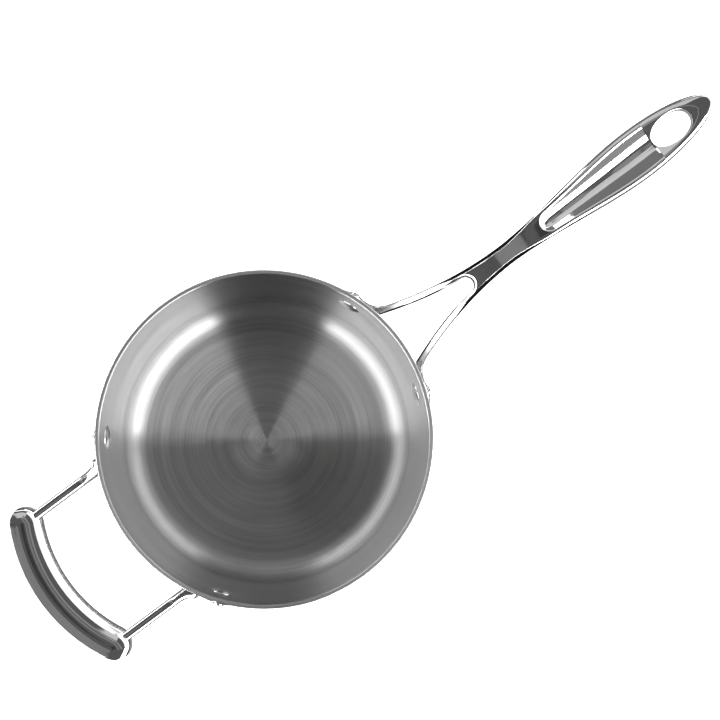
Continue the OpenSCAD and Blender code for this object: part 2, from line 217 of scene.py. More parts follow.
# How the long handle lies in the picture, turned up from level, and the camera over the pan. PLUMB is the
# point straight under it.
HANDLE_LIE = math.radians(37.3)
PICTURE = 720
CAMERA_OVER_RIM = 1300.0
MM_PER_PIXEL = 0.6055
RIM_CENTRE_PIXEL = (264.1, 439.5)
PLUMB_PIXEL = (305.8, 454.5)
PLUMB = (14.6, -22.6)

# The studio: the table, the lit cloth of the tent, the paper of table and cards, and the light in the air
TABLE_R = 3500.0
TENT_R = 3000.0
TABLE_TONE = 0.9
CLOTH_TONE = 0.1
CARD_TONE = 0.01
PAPER_ROUGHNESS = 0.9
PAPER_SHEEN = 0.1
AIR_GLOW = 0.13
ROUND_STEPS = 96
CLOTH_STEPS = (17, 25)


def ramp(t):
    """Smooth step from 0 to 1: 3 t^2 - 2 t^3."""
    s = np.clip(t, 0, 1)
    return s * s * (3 - 2 * s)


def round_end(t):
    """A quarter circle that rises from 0 to 1."""
    s = 1 - np.clip(t, 0, 1)
    return np.sqrt(1 - s * s)


def signed_power(v, p):
    """|v|^p with v's sign, which squares off a circle's sine and cosine."""
    return np.sign(v) * np.abs(v) ** p


def dome(u, p):
    """A squared-off arch over -1 to 1: (1 - |u|^p)^(1/p)."""
    return np.maximum(0, 1 - np.abs(u) ** p) ** (1 / p)


def wall_r(z, offset):
    """Radius, at height z on the leaning wall, of the surface that lies offset outside the inner face."""
    return RIM_R - (RIM_Z - z) * math.tan(FLARE) + offset / math.cos(FLARE)


def spun(points, angle):
    """Points turned about the bowl's upright axis."""
    c, s = math.cos(angle), math.sin(angle)
    return points @ np.array([[c, s, 0], [-s, c, 0], [0, 0, 1]])


def grid_quads(rows, cols, closed):
    """Quads (r, c), (r+1, c), (r+1, c+1), (r, c+1) of a grid; closed, it goes back to its first column."""
    r = np.arange(rows - 1)[:, None] * cols
    c = np.arange(cols if closed else cols - 1)[None, :]
    d = (c + 1) % cols
    return np.stack([r + c, r + cols + c, r + cols + d, r + d], -1).reshape(-1, 4)


def welded(points, quads):
    """Merges points that coincide. A quad that loses one corner by it becomes a triangle, and one that
    loses two goes."""
    _, first, place = np.unique(np.round(points, 4), axis=0, return_index=True, return_inverse=True)
    quads = place.reshape(-1)[quads]
    doubled = quads == np.roll(quads, -1, axis=1)
    lost = doubled.sum(1)
    triangles = quads[lost == 1][~doubled[lost == 1]].reshape(-1, 3)
    return points[first], quads[lost == 0], triangles


def capped(count, quads, triangles):
    """All faces of a skin of that many points, with one more on each open edge loop. An edge is open
    where no face runs along it the other way."""
    edges = np.concatenate([np.stack([kind, np.roll(kind, -1, axis=1)], -1).reshape(-1, 2)
                            for kind in (quads, triangles)])
    forth, back = edges @ [count, 1], edges @ [1, count]
    follow = {b: a for a, b in edges[~np.isin(forth, back)].tolist()}
    caps = []
    while follow:
        start, here = follow.popitem()
        loop = [start]
        while here != start:
            loop.append(here)
            here = follow.pop(here)
        caps.append(loop)
    return quads.tolist() + triangles.tolist() + caps


def turned(profile, steps):
    """A profile of (radius, height), from axis to axis, carried round Z: (r cos a, r sin a, h)."""
    a = np.linspace(0, 2 * np.pi, steps, endpoint=False)
    r, h = profile[1:-1, 0:1], profile[1:-1, 1:2]
    rings = np.stack([r * np.cos(a), r * np.sin(a), h + 0 * a], -1).reshape(-1, 3)
    poles = [[0, 0, profile[0, 1]], [0, 0, profile[-1, 1]]]
    j = np.arange(steps)
    k = (j + 1) % steps
    last = len(rings) - steps
    fans = [np.stack([np.full(steps, len(rings)), j, k], -1),
            np.stack([last + j, np.full(steps, len(rings) + 1), last + k], -1)]
    quads = grid_quads(len(r), steps, True)
    return np.concatenate([rings, poles]), quads.tolist() + np.concatenate(fans).tolist()


def lofted(rings):
    """Closed rings of points, one row each, skinned in order and capped at both ends."""
    rows, cols, _ = rings.shape
    caps = [list(range(cols)), list(range(rows * cols - 1, (rows - 1) * cols - 1, -1))]
    return rings.reshape(-1, 3), grid_quads(rows, cols, True).tolist() + caps


def bowl_line(offset, top):
    """(radius, height) up the surface offset outside the inner face: flat floor, round corner, and the
    wall, which leans by FLARE."""
    floor = np.stack([np.linspace(0, CORNER_X, 14), np.full(14, WALL_T - offset)], -1)
    a = np.linspace(-np.pi / 2, -FLARE, 34)[1:]
    r = CORNER_R + offset
    corner = np.stack([CORNER_X + r * np.cos(a), CORNER_Z + r * np.sin(a)], -1)
    z = np.linspace(corner[-1, 1], top, 10)[1:]
    return np.concatenate([floor, corner, np.stack([wall_r(z, offset), z], -1)])


def rim_height(offset):
    """The rim's crown: level in the middle, falling by a quarter ellipse at each edge."""
    near_in = 1 - round_end(offset / CROWN_IN[0])
    near_out = 1 - round_end((WALL_T - offset) / CROWN_OUT[0])
    return RIM_Z - CROWN_IN[1] * near_in - CROWN_OUT[1] * near_out


def ply(inner, outer):
    """One layer of the clad wall, between two offsets: up its inner line, over the crown by a cosine, and
    down its outer line, all of it turned."""
    offset = inner + (outer - inner) * (1 - np.cos(np.linspace(0, np.pi, 12))) / 2
    crown = np.stack([wall_r(rim_height(offset), offset), rim_height(offset)], -1)
    up = bowl_line(inner, rim_height(inner))[:-1]
    down = bowl_line(outer, rim_height(outer))[-2::-1]
    return turned(np.concatenate([up, crown, down]), 480)


def rivet_seat(angle):
    """A rivet's point on the inner face, and its axes: down the wall, along the rim, and out along the
    wall's normal."""
    c, s = math.cos(angle), math.sin(angle)
    cf, sf = math.cos(FLARE), math.sin(FLARE)
    r = wall_r(RIVET_Z, 0)
    axes = np.array([[-c * sf, -s * sf, -cf], [-s, c, 0], [c * cf, s * cf, -sf]])
    return np.array([r * c, r * s, RIVET_Z]), axes


def button_line(radius, height, edge, edge_r, steps):
    """(radius, height) over a low button: a crown arc, a small round shoulder and an upright edge."""
    shoulder = edge - edge_r
    reach = radius - edge_r
    crown = (reach**2 + (height - edge) ** 2) / (2 * (height - edge))
    r = np.linspace(0, reach, steps)
    over = np.stack([r, height - crown + np.sqrt(crown**2 - r**2)], -1)
    a = np.linspace(np.pi / 2, 0, 7)[1:]
    side = np.stack([reach + edge_r * np.cos(a), shoulder + edge_r * np.sin(a)], -1)
    return np.concatenate([over, side])


def rivet(angle):
    """A set rivet turned about its own axis: tail button outside the ear, shank, and wide low head inside
    the bowl."""
    tail = button_line(TAIL_R, TAIL_H, TAIL_EDGE, TAIL_ROUND, 12) + [0, WALL_T + EAR_T]
    head = button_line(HEAD_R, HEAD_H, HEAD_EDGE, HEAD_ROUND, 16)[::-1] * [1, -1]
    seat = WALL_T + EAR_T - TAIL_SUNK
    shank = [[TAIL_R, seat], [SHANK_R, seat], [SHANK_R, HEAD_SUNK], [HEAD_R, HEAD_SUNK]]
    points, faces = turned(np.concatenate([tail, shank, head]), 72)
    origin, axes = rivet_seat(angle)
    return points @ axes + origin, faces


def on_wall(angle, down, along, offset):
    """Drops a flat drawing at a rivet straight onto the cone that lies offset outside the inner face."""
    origin, axes = rivet_seat(angle)
    flat = origin + down[..., None] * axes[0] + along[..., None] * axes[1]
    height = offset + 0 * down
    for _ in range(8):
        point = flat + height[..., None] * axes[2]
        miss = np.hypot(point[..., 0], point[..., 1]) - wall_r(point[..., 2], offset)
        height = height - miss * math.cos(FLARE)
    return flat + height[..., None] * axes[2]


def ear(rivet_angle, leg_angle):
    """A flange on the curved wall. Its flat outline is two circles, round the rivet and at the leg, and
    their tangents, each point with its own centre on the line between the circles. Rows go from that line
    to a rounded edge, down the side and back underneath."""
    reach = wall_r(RIVET_Z, WALL_T) * 2 * math.sin((leg_angle - rivet_angle) / 2)
    side = math.copysign(1, reach)
    reach = abs(reach)
    lean = math.asin((EAR_END_R - EAR_LEG_R) / reach)
    at_rivet, tangent, at_leg, inside = 49, 9, 25, 5
    share = np.concatenate([np.zeros(at_rivet), np.linspace(0, 1, tangent + 2)[1:-1],
                            np.ones(at_leg), np.linspace(1, 0, tangent + 2)[1:-1]])
    turn = np.concatenate([np.linspace(-np.pi - lean, lean, at_rivet), np.full(tangent, lean),
                           np.linspace(lean, np.pi - lean, at_leg), np.full(tangent, np.pi - lean)])
    radius = EAR_END_R + (EAR_LEG_R - EAR_END_R) * share
    edge = np.linspace(0, np.pi / 2, 9)[1:]
    top, foot, under = WALL_T + EAR_T, WALL_T, WALL_T - EAR_SUNK
    inset = np.concatenate([np.full(inside, EAR_EDGE), EAR_EDGE * (1 - np.sin(edge)), [0, 0, 0]])
    out_share = np.concatenate([np.linspace(0, 1, inside), np.ones(len(edge)), [1, 1, 0]])
    rounded = top - EAR_EDGE * (1 - np.cos(edge))
    height = np.concatenate([np.full(inside, top), rounded, [foot, under, under]])
    out = out_share[:, None] * (radius[None, :] - inset[:, None])
    points = on_wall(rivet_angle, out * np.cos(turn), side * (reach * share + out * np.sin(turn)),
                     height[:, None] + 0 * out)
    quads = grid_quads(len(out_share), len(turn), True)
    points, quads, triangles = welded(points.reshape(-1, 3), quads if side > 0 else quads[:, ::-1])
    return points, quads.tolist() + triangles.tolist()


def half_width(x):
    """Half of the long handle's width from above: an even neck, the fork, which flares with the square of
    the distance, fillets that die away from the wall, and the grip's smooth swelling, closed by the
    elliptic tip."""
    fork = FORK_FLARE * np.maximum(0, FLARE_X - x) ** 2
    root = np.minimum(ROOT_FILLET_MOST, ROOT_FILLET * np.exp((SEAT_X - x) / ROOT_FILLET_RUN))
    swell = (GRIP_W - NECK_W) / 2 * ramp((x - NECK_X) / (WIDEST_X - NECK_X))
    return (NECK_W / 2 + fork + root + swell) * tip_round(x)


def tip_round(x):
    """1 up to the widest station, then a quarter ellipse to 0 at the tip."""
    share = np.clip((x - WIDEST_X) / (HANDLE_REACH - WIDEST_X), 0, 1)
    return np.sqrt(1 - share**2)


def handle_middle(x):
    """Height of the long handle's middle line. Its slope falls from 0.86 at the wall, with the power 1.5
    of the distance left to CLIMB_L, to the grip's own."""
    away = x - SEAT_X
    return RIVET_Z + GRIP_SLOPE * away + CLIMB * (1 - np.clip(1 - away / CLIMB_L, 0, None) ** CLIMB_POWER)


def half_thickness(x):
    """Half of the long handle's thickness: even legs and neck, thicker grip, and an elliptic tip."""
    full = LEG_T + (GRIP_T - LEG_T) * ramp((x - NECK_X) / THICKENS_L)
    return (full * tip_round(x) + TIP_T * (1 - tip_round(x))) / 2


def half_gap(x):
    """Half of the opening along the middle: the fork, which widens with the power 1.5 of the distance
    from its round crotch, and the slightly squared hanging hole."""
    fork = CROTCH_R + FORK_OPENING * np.maximum(0, CROTCH_X - x) ** 1.5
    crotch = np.sqrt(np.maximum(0, CROTCH_R**2 - (x - CROTCH_X) ** 2))
    hole = HOLE_W / 2 * dome(np.clip((x - HOLE_X) / (HOLE_L / 2), -1, 1), HOLE_POWER)
    return np.where(x < CROTCH_X, fork, crotch + hole)


def edge_round(distance, radius):
    """How far a quarter-round edge of that radius has fallen at a distance in from the edge."""
    d = np.clip(radius - distance, 0, radius)
    return radius - np.sqrt(radius**2 - d**2)


def edge_fall(x, y):
    """Rounded edges of the crotch and of the hanging hole, by the distance to each. The hole's is taken
    along the line from its centre."""
    to_crotch = np.where(x < CROTCH_X, np.abs(y) - half_gap(x), np.hypot(x - CROTCH_X, y) - CROTCH_R)
    along = (np.abs(x - HOLE_X) / (HOLE_L / 2)) ** HOLE_POWER
    ring = (along + (np.abs(y) / (HOLE_W / 2)) ** HOLE_POWER) ** (1 / HOLE_POWER)
    to_hole = (1 - 1 / np.maximum(ring, WELL_INSIDE)) * np.hypot(x - HOLE_X, y)
    return edge_round(np.maximum(to_crotch, 0), FORK_EDGE) + edge_round(np.maximum(to_hole, 0), HOLE_EDGE)


def scooped(height, x, y):
    """The top with the thumb scoop cut into it: the soft minimum of the top and the scoop's surface.
    Across, that is a hyperbola, round in the middle with nearly straight sides. Its outline runs out by
    quarter circles, its depth follows its width, and beside the hanging hole it steps up to a land."""
    lip = SCOOP_LIP - (1 - ramp((x - SCOOP_START) / LIP_GROWS_L))
    run_in = round_end((x - SCOOP_START) / SCOOP_START_L)
    run_out = round_end((SCOOP_END - x) / SCOOP_END_L)
    half = np.maximum((half_width(x) - lip) * run_in * run_out, 1e-3)
    depth = SCOOP_DEPTH * (half / (GRIP_W / 2 - SCOOP_LIP)) ** SCOOP_POWER
    depth = depth * (1 - LAND_SHARE * ramp((x - HOLE_NEAR + LAND_BEFORE_HOLE) / LAND_STEP))
    side = np.sqrt((y / half) ** 2 + FLOOR_ROUND**2) - FLOOR_ROUND
    surface = half_thickness(x) - depth * (1 - side / (math.sqrt(1 + FLOOR_ROUND**2) - FLOOR_ROUND))
    ridge = LIP_ROUND * depth
    return (height + surface - np.sqrt((height - surface) ** 2 + ridge**2)) / 2


def leg_share(x):
    """1 where the legs run apart, falling smoothly to 0 at the crotch's end."""
    return 1 - ramp((x - MERGE_X) / (SPLIT_X - MERGE_X))


def leg_arch(x, y, power):
    """An arch over each leg alone, from the opening to the outer edge: half the thickness times a dome."""
    across = 2 * (np.abs(y) - half_gap(x)) / (half_width(x) - half_gap(x)) - 1
    return half_thickness(x) * dome(np.where(leg_share(x) > 0, across, 0), power)


def bevelled(arch, x, to_edge):
    """An arch cut by a 55 degree bevel along its edge: the soft minimum of the arch and the bevel's
    plane, which lies further in beside the crotch."""
    grown = ramp((x - BEVEL_GROWS[0]) / BEVEL_GROWS[1])
    faded = ramp((x - BEVEL_FADES[0]) / BEVEL_FADES[1])
    bevel = EDGE_BEVEL + CROTCH_BEVEL * grown * (1 - faded)
    plane = half_thickness(x) + BEVEL_SLOPE * (to_edge - bevel)
    return (arch + plane - np.sqrt((arch - plane) ** 2 + BEVEL_RIDGE)) / 2


def top_skin(x, y):
    """Height of the casting's top over its middle line: flat bevelled legs that merge into a flat
    bevelled neck, and a rounder grip, with the crotch's and the hole's rounded edges."""
    to_edge = half_width(x) - np.abs(y)
    to_nearest = np.minimum(to_edge, np.abs(y) - half_gap(x))
    over_leg = bevelled(leg_arch(x, y, LEG_ARCH), x, to_nearest)
    squareness = NECK_ARCH - (NECK_ARCH - GRIP_ARCH) * ramp((x - NECK_X) / ARCH_CHANGES_L)
    arch = half_thickness(x) * dome(y / half_width(x), squareness)
    over_all = bevelled(arch, x, to_edge) - edge_fall(x, y)
    return np.maximum(0, leg_share(x) * over_leg + (1 - leg_share(x)) * over_all)


def belly_skin(x, y):
    """Depth of the casting's underside below its middle line: a fuller arch under each leg, then one
    under the whole, with the same rounded edges."""
    under_all = half_thickness(x) * dome(y / half_width(x), BELLY_ARCH) - edge_fall(x, y)
    return leg_share(x) * leg_arch(x, y, BELLY_ARCH) + (1 - leg_share(x)) * np.maximum(0, under_all)


def handle_stations():
    """Where the long handle's sections lie: close together at the roots, round the crotch, at the scoop's
    start, at the land, and round the hole and the tip, where they follow a sine."""
    quarter = np.sin(np.linspace(0, np.pi / 2, 24))
    past_hole = np.arcsin((HOLE_FAR - WIDEST_X) / (HANDLE_REACH - WIDEST_X))
    to_tip = np.linspace(past_hole, np.radians(89.2), 40)[1:]
    stations = [
        np.arange(ROOT_X, ROOT_X + 12, 0.5),
        np.arange(ROOT_X + 12, CROTCH_X, 1.5),
        CROTCH_X + CROTCH_R * quarter,
        SPLIT_X + np.array([0.1, 0.25, 0.45, 0.7, 1, 1.4, 2, 3]),
        np.arange(SPLIT_X + 4.5, SCOOP_START - 1, 2),
        SCOOP_START + 12 * np.linspace(0, 1, 30) ** 1.5,
        np.arange(SCOOP_START + 13, HOLE_NEAR - 1, 1.0),
        HOLE_NEAR - np.array([0.1, 0.3, 0.6, 0.9, 1.3]),
        HOLE_X - HOLE_L / 2 * np.cos(np.linspace(0, np.pi, 61)),
        WIDEST_X + (HANDLE_REACH - WIDEST_X) * np.sin(to_tip),
    ]
    return np.unique(np.round(np.concatenate(stations), 5))


def casting():
    """The forked handle as one skin. Each half's columns go over the top from its edge to the middle or
    the opening, down the opening's wall, and back underneath. Where there is no opening, the halves meet
    on the middle line. Columns crowd at both edges beside an opening, by a cosine, and at the outer edge
    alone elsewhere."""
    steps, wall_steps = 60, 4
    x = handle_stations()[:, None]
    t = np.linspace(0, 1, steps + 1)[None, :]
    reached = ramp((x - HOLE_NEAR + BEFORE_HOLE) / BEFORE_HOLE_L)
    not_past = ramp((HOLE_FAR + PAST_HOLE_L - x) / PAST_HOLE_L)
    whole = ramp((x - SPLIT_X) / PAST_FORK_L) * (1 - reached * not_past)
    share = (1 - whole) * (1 + np.cos(np.pi * t)) / 2 + whole * np.cos(np.pi / 2 * t)
    gap = half_gap(x)
    gap[gap < 1e-3] = 0
    y = gap + (half_width(x) - gap) * share
    top = handle_middle(x) + scooped(top_skin(x, y), x, y)
    belly = handle_middle(x) - belly_skin(x, y)
    down = np.linspace(0, 1, wall_steps + 2)[None, 1:-1]
    wall_z = top[:, -1:] + (belly[:, -1:] - top[:, -1:]) * down
    y = np.concatenate([y, gap + 0 * down, y[:, ::-1]], 1)
    z = np.concatenate([top, wall_z, belly[:, ::-1]], 1)
    half = np.stack([x + 0 * y, y, z], -1).reshape(-1, 3)
    rows, cols = y.shape
    quads = grid_quads(rows, cols, False).reshape(rows - 1, cols - 1, 4)
    solid = (gap[:-1, 0] == 0) & (gap[1:, 0] == 0)
    in_wall = np.zeros((rows - 1, cols - 1), bool)
    in_wall[:, steps:steps + wall_steps + 1] = solid[:, None]
    quads = quads[~in_wall]
    both = np.concatenate([half, half * [1, -1, 1]])
    points, quads, triangles = welded(both, np.concatenate([quads[:, ::-1], quads + rows * cols]))
    return points, capped(len(points), quads, triangles)


def helper_middle(x):
    """Height of the helper's middle line: it climbs evenly with the distance from the wall, up to the
    soft minimum of that distance and the bend's, and is level from there on."""
    left = HELPER_BEND - (-x - HELPER_SEAT_X)
    climbed = HELPER_BEND - (left + np.sqrt(left**2 + HELPER_BEND_ROUND)) / 2
    return RIVET_Z + HELPER_RISE / HELPER_BEND * climbed


def helper_leg(side):
    """A leg of superellipse section that runs straight out from a fillet at the wall into the grip."""
    outer = BOW_X - math.sqrt(BOW_R**2 - (LEG_SPAN / 2) ** 2) + LEG_STOP
    x = np.linspace(-HELPER_SEAT_X, outer, 70)[:, None]
    a = np.linspace(0, 2 * np.pi, 48, endpoint=False)[None, :]
    past_ear = x + HELPER_SEAT_X + EAR_T
    fillet = np.minimum(LEG_FILLET_MOST, LEG_FILLET * np.exp(past_ear / LEG_FILLET_RUN)) / 2
    y = side * (LEG_SPAN / 2 + fillet) + (LEG_W / 2 + fillet) * signed_power(np.cos(a), 2 / LEG_POWER)
    z = helper_middle(x) + HELPER_LEG_T / 2 * signed_power(np.sin(a), 2 / LEG_POWER)
    points, faces = lofted(np.stack([x + 0 * y, y, z], -1))
    return spun(points, HELPER_TURN), faces


def grip_section(w, h):
    """The grip's section, round from its outer side. The top falls from a crest at the outer side to the
    pan as 1 - u^3, the outer side is upright with a rounded edge, and the underside is a superellipse."""
    a = np.linspace(0, np.pi / 2, 25)[None, :]
    u = np.linspace(0, 1, 60)[None, 1:]
    b = np.linspace(np.pi, 2 * np.pi, 60)[None, 1:-1]
    outer_q = w * CREST + w * (1 - CREST) * np.cos(a) ** (2 / GRIP_EDGE_POWER)
    outer_z = h * GRIP_CROWN * np.sin(a) ** (2 / GRIP_EDGE_POWER)
    top_q = w * CREST - w * (1 + CREST) * u
    top_z = h * GRIP_CROWN * (1 - u ** GRIP_TOP_POWERS[0]) ** (1 / GRIP_TOP_POWERS[1])
    under_q = w * signed_power(np.cos(b), 2 / GRIP_UNDER_POWER)
    under_z = h * GRIP_BELLY * signed_power(np.sin(b), 2 / GRIP_UNDER_POWER)
    q = np.concatenate([outer_q, top_q, under_q], 1)
    return q, np.concatenate([outer_z, top_z + 0 * w, under_z], 1)


def helper_grip():
    """The bowed grip: its section carried along an arc of radius BOW_R, a little narrower towards the
    ends, and closed by round ends, where the width follows a quarter circle."""
    half = math.asin(HELPER_GRIP_L / 2 / BOW_R)
    end = half - HELPER_GRIP_W / 2 / BOW_R
    quarter = np.sin(np.radians(np.linspace(0, 89, 22)))
    t = np.concatenate([end + (half - end) * quarter[::-1], np.linspace(end, -end, 62)[1:-1],
                        -end - (half - end) * quarter])[:, None]
    closing = np.sqrt(1 - (np.clip(np.abs(t) - end, 0, None) / (half - end)) ** 2)
    w = HELPER_GRIP_W / 2 * closing * (1 - GRIP_TAPER * (t / half) ** 2)
    h = HELPER_GRIP_H / 2 * closing**GRIP_END_POWER
    q, z = grip_section(w, h)
    z = z + RIVET_Z + HELPER_RISE
    points, faces = lofted(np.stack([BOW_X - (BOW_R + q) * np.cos(t), (BOW_R + q) * np.sin(t), z], -1))
    return spun(points, HELPER_TURN), faces


def finish(name, colour, roughness, **sockets):
    """A metal finish: a Principled shader on an output, with its even values set on its own sockets."""
    material = bpy.data.materials.new(name)
    material.use_nodes = True
    tree = material.node_tree
    tree.nodes.clear()
    steel = tree.nodes.new("ShaderNodeBsdfPrincipled")
    output = tree.nodes.new("ShaderNodeOutputMaterial")
    tree.links.new(steel.outputs["BSDF"], output.inputs["Surface"])
    steel.inputs["Base Color"].default_value = (colour, colour, colour, 1)
    steel.inputs["Metallic"].default_value = 1
    steel.inputs["Roughness"].default_value = roughness
    for socket, value in sockets.items():
        steel.inputs[socket.replace("_", " ")].default_value = value
    return material, tree, steel


def maths(tree, operation, *values):
    """A Math node fed with numbers or other nodes' outputs."""
    made = tree.nodes.new("ShaderNodeMath")
    made.operation = operation
    for place, value in enumerate(values):
        if isinstance(value, (int, float)):
            made.inputs[place].default_value = value
        else:
            tree.links.new(value, made.inputs[place])
    return made.outputs[0]


def noise(tree, vector, scale, detail):
    """A Noise texture's grey value, from 0 to 1."""
    made = tree.nodes.new("ShaderNodeTexNoise")
    made.inputs["Scale"].default_value = scale
    made.inputs["Detail"].default_value = detail
    tree.links.new(vector, made.inputs["Vector"])
    return made.outputs["Fac"]


def spread(tree, value, low, high):
    """Maps 0.3 to 0.7, where most of a noise lies, onto low to high."""
    made = tree.nodes.new("ShaderNodeMapRange")
    made.inputs["From Min"].default_value = 0.3
    made.inputs["From Max"].default_value = 0.7
    made.inputs["To Min"].default_value = low
    made.inputs["To Max"].default_value = high
    tree.links.new(value, made.inputs["Value"])
    return made.outputs["Result"]


def bumped(tree, steel, height, depth_mm):
    """Feeds a height of 0 to 1 into the shader's normal, for a relief of that many millimetres."""
    made = tree.nodes.new("ShaderNodeBump")
    made.inputs["Strength"].default_value = 1
    made.inputs["Distance"].default_value = depth_mm * MM
    tree.links.new(height, made.inputs["Height"])
    tree.links.new(made.outputs["Normal"], steel.inputs["Normal"])


def tinted(tree, steel, value, dark, light):
    """Base colour between two greys, by a value of 0 to 1."""
    made = tree.nodes.new("ShaderNodeMix")
    made.data_type = "RGBA"
    made.inputs["A"].default_value = (dark, dark, dark, 1)
    made.inputs["B"].default_value = (light, light, light, 1)
    tree.links.new(value, made.inputs["Factor"])
    tree.links.new(made.outputs["Result"], steel.inputs["Base Color"])


def ring_coordinates(tree, across, around):
    """Coordinates for marks turned about Z: radius plus height, times across, for the place along the
    wall's profile, and the direction from the axis, times around, for the place along each ring."""
    place = tree.nodes.new("ShaderNodeTexCoord").outputs["Object"]
    parts = tree.nodes.new("ShaderNodeSeparateXYZ")
    tree.links.new(place, parts.inputs[0])
    x, y, z = parts.outputs
    squares = maths(tree, "ADD", maths(tree, "MULTIPLY", x, x), maths(tree, "MULTIPLY", y, y))
    radius = maths(tree, "SQRT", squares)
    safe = maths(tree, "MAXIMUM", radius, NEAR_AXIS)
    joined = tree.nodes.new("ShaderNodeCombineXYZ")
    tree.links.new(maths(tree, "MULTIPLY", maths(tree, "ADD", radius, z), across), joined.inputs[0])
    tree.links.new(maths(tree, "MULTIPLY", maths(tree, "DIVIDE", x, safe), around), joined.inputs[1])
    tree.links.new(maths(tree, "MULTIPLY", maths(tree, "DIVIDE", y, safe), around), joined.inputs[2])
    return joined.outputs[0]


def brushed_in_rings(name, colour, roughness, anisotropy, relief_mm, shade):
    """Steel brushed on a turning wheel: rings about Z in relief, gloss and tone, and a stretched gloss."""
    material, tree, steel = finish(name, colour, roughness, Anisotropic=anisotropy,
                                   Anisotropic_Rotation=QUARTER_TURN)
    tangent = tree.nodes.new("ShaderNodeTangent")
    tangent.direction_type = "RADIAL"
    tangent.axis = "Z"
    tree.links.new(tangent.outputs[0], steel.inputs["Tangent"])
    fine = noise(tree, ring_coordinates(tree, *FINE_RINGS), 1, 3)
    broad = noise(tree, ring_coordinates(tree, *BROAD_RINGS), 1, 2)
    fine_part = maths(tree, "MULTIPLY", fine, FINE_SHARE)
    both = maths(tree, "ADD", fine_part, maths(tree, "MULTIPLY", broad, 1 - FINE_SHARE))
    uneven = spread(tree, both, roughness - ROUGHNESS_SWING, roughness + ROUGHNESS_SWING)
    tree.links.new(uneven, steel.inputs["Roughness"])
    tinted(tree, steel, spread(tree, both, 0, 1), colour * (1 - shade), colour * (1 + shade))
    bumped(tree, steel, both, relief_mm)
    return material


def polished(name, colour, roughness, waviness_mm):
    """Cast or pressed steel polished to a mirror: faint long waves, and a light haze of fine scratches."""
    material, tree, steel = finish(name, colour, roughness)
    place = tree.nodes.new("ShaderNodeTexCoord").outputs["Object"]
    waves = noise(tree, place, POLISH_WAVES, 1)
    haze = noise(tree, place, POLISH_HAZE, 4)
    uneven = spread(tree, haze, roughness * HAZE_SWING[0], roughness * HAZE_SWING[1])
    tree.links.new(uneven, steel.inputs["Roughness"])
    tinted(tree, steel, spread(tree, waves, 0, 1), colour * WAVE_SWING[0], colour * WAVE_SWING[1])
    bumped(tree, steel, waves, waviness_mm)
    return material


def flat_finish(name, tone, glow):
    """A matt stage surface of one tone that also gives off its own light, as lit paper does."""
    material = bpy.data.materials.new(name)
    material.use_nodes = True
    shader = material.node_tree.nodes["Principled BSDF"]
    shader.inputs["Base Color"].default_value = (tone, tone, tone, 1)
    shader.inputs["Roughness"].default_value = PAPER_ROUGHNESS
    shader.inputs["Specular IOR Level"].default_value = PAPER_SHEEN
    shader.inputs["Emission Color"].default_value = (1, 1, 1, 1)
    shader.inputs["Emission Strength"].default_value = glow
    return material


def made_piece(name, points, faces, material):
    """Writes millimetre points and their faces as a smooth object in metres, with one material."""
    mesh = bpy.data.meshes.new(name)
    mesh.from_pydata((np.asarray(points) * MM).tolist(), [], faces)
    mesh.shade_smooth()
    mesh.materials.append(material)
    piece = bpy.data.objects.new(name, mesh)
    bpy.context.scene.collection.objects.link(piece)
    return piece


def build(name, shape, material, node):
    """A piece of the pan from a shape's points and faces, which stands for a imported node."""
    piece = made_piece(name, *shape, material)
    piece.data.set_sharp_from_angle(angle=SHARP_EDGE)
    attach(piece, "root")
    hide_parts(node)


def stage_piece(name, points, faces, material):
    """A surface of the studio, which isn't part of the pan."""
    piece = made_piece(name, points, faces, material)
    return piece


def disc(name, radius, centre, upwards, material):
    """A level disc of the studio that faces up or down: (r cos a, r sin a, 0) about its centre."""
    a = np.linspace(0, 2 * np.pi, ROUND_STEPS, endpoint=False)
    ring = np.stack([radius * np.cos(a), radius * np.sin(a), 0 * a], -1)
    face = list(range(ROUND_STEPS))
    return stage_piece(name, ring + centre, [face if upwards else face[::-1]], material)


def lit_cloth(name, azimuths, leans, glow):
    """A sheet of lit cloth: the part of a sphere about the pan between two azimuths in the picture,
    turned up from its right-hand side, and between two leans from the upright."""
    rows, cols = CLOTH_STEPS
    azimuth = np.radians(np.linspace(*azimuths, cols)) - HANDLE_LIE
    a, t = np.meshgrid(azimuth, np.radians(np.linspace(*leans, rows)))
    points = TENT_R * np.stack([np.sin(t) * np.cos(a), np.sin(t) * np.sin(a), np.cos(t)], -1)
    cloth = flat_finish(name + "_cloth", CLOTH_TONE, glow)
    stage_piece(name, points.reshape(-1, 3), grid_quads(rows, cols, False).tolist(), cloth)


def card(name, x, y, z, glow):
    """A card from one x, y and z to another: level where both z are the same, upright where both y are.
    The polish mirrors it, but the camera doesn't see it."""
    corners = [[x[0], y[0], z[0]], [x[0], y[1], z[1]], [x[1], y[1], z[1]], [x[1], y[0], z[0]]]
    piece = stage_piece(name, corners, [[0, 1, 2, 3]], flat_finish(name + "_paper", CARD_TONE, glow))
    piece.visible_camera = False


# Finishes: name, tone, roughness, and then the gloss's stretch, the rings' relief and shade, or the waves
# The inside's tone, 0.38, is darker than the steel's own 0.66. That is painted shade: less light bounces
# about the bowl, which keeps its dark sectors dark.
inner_finish_painted_shade = brushed_in_rings("brushed_interior_painted_shade", 0.38, 0.31, 1.0, 0.005, 0.16)
core_finish = brushed_in_rings("ground_core_edge", 0.66, 0.3, 0.6, 0.003, 0.05)
outer_finish = brushed_in_rings("turned_exterior", 0.66, 0.2, 0.5, 0.001, 0.04)
handle_finish = polished("polished_casting", 0.66, 0.06, 0.05)
rivet_finish = polished("polished_rivet", 0.74, 0.04, 0.03)

build("interior_skin", ply(0, CORE_IN), inner_finish_painted_shade, "inner_ply")
build("aluminium_core", ply(CORE_IN, CORE_OUT), core_finish, "core_ply")
build("exterior_skin", ply(CORE_OUT, WALL_T), outer_finish, "outer_ply")

